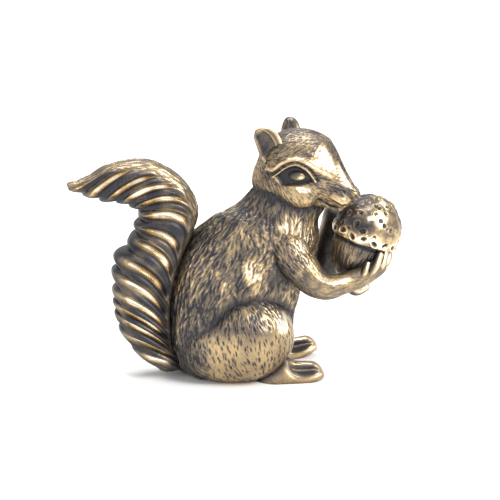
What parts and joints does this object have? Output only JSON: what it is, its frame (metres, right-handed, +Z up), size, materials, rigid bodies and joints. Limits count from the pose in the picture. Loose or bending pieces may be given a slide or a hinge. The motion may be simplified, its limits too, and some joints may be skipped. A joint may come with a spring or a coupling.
{
  "type": "squirrel figurine",
  "caption": "Small antiqued brass squirrel that sits up on its haunches and holds an acorn to its mouth, with a ridged plume tail curling up behind; a desk ornament.",
  "frame": {"origin": "on the ground, under the middle of the figure's box", "axes": "+X the way the squirrel faces, from tail tip to acorn; +Y its left side; +Z up"},
  "size_m": [0.0438, 0.0176, 0.0333],
  "materials": {
    "furred_brass": "antiqued cast brass: polished where it stands proud, dark patina in the chased fur",
    "plume_brass": "antiqued cast brass: polished ridges, near-black patina between the locks",
    "acorn_brass": "antiqued cast brass: polished skin with dark pits and grooves",
    "dowel_brass": "plain drawn brass wire, hidden inside the joints"
  },
  "bodies": {
    "root": {"trunk": "furred_brass", "head": "furred_brass", "right_ear": "furred_brass", "left_ear": "furred_brass", "right_arm": "furred_brass", "left_arm": "furred_brass", "right_thigh": "furred_brass", "left_thigh": "furred_brass", "right_foot": "furred_brass", "left_foot": "furred_brass", "tail": "plume_brass", "acorn_nut": "acorn_brass", "acorn_cap": "acorn_brass", "neck_dowel": "dowel_brass", "shoulder_dowels": "dowel_brass", "hip_dowels": "dowel_brass", "ankle_dowels": "dowel_brass", "tail_dowels": "dowel_brass"}
  },
  "joints": []
}
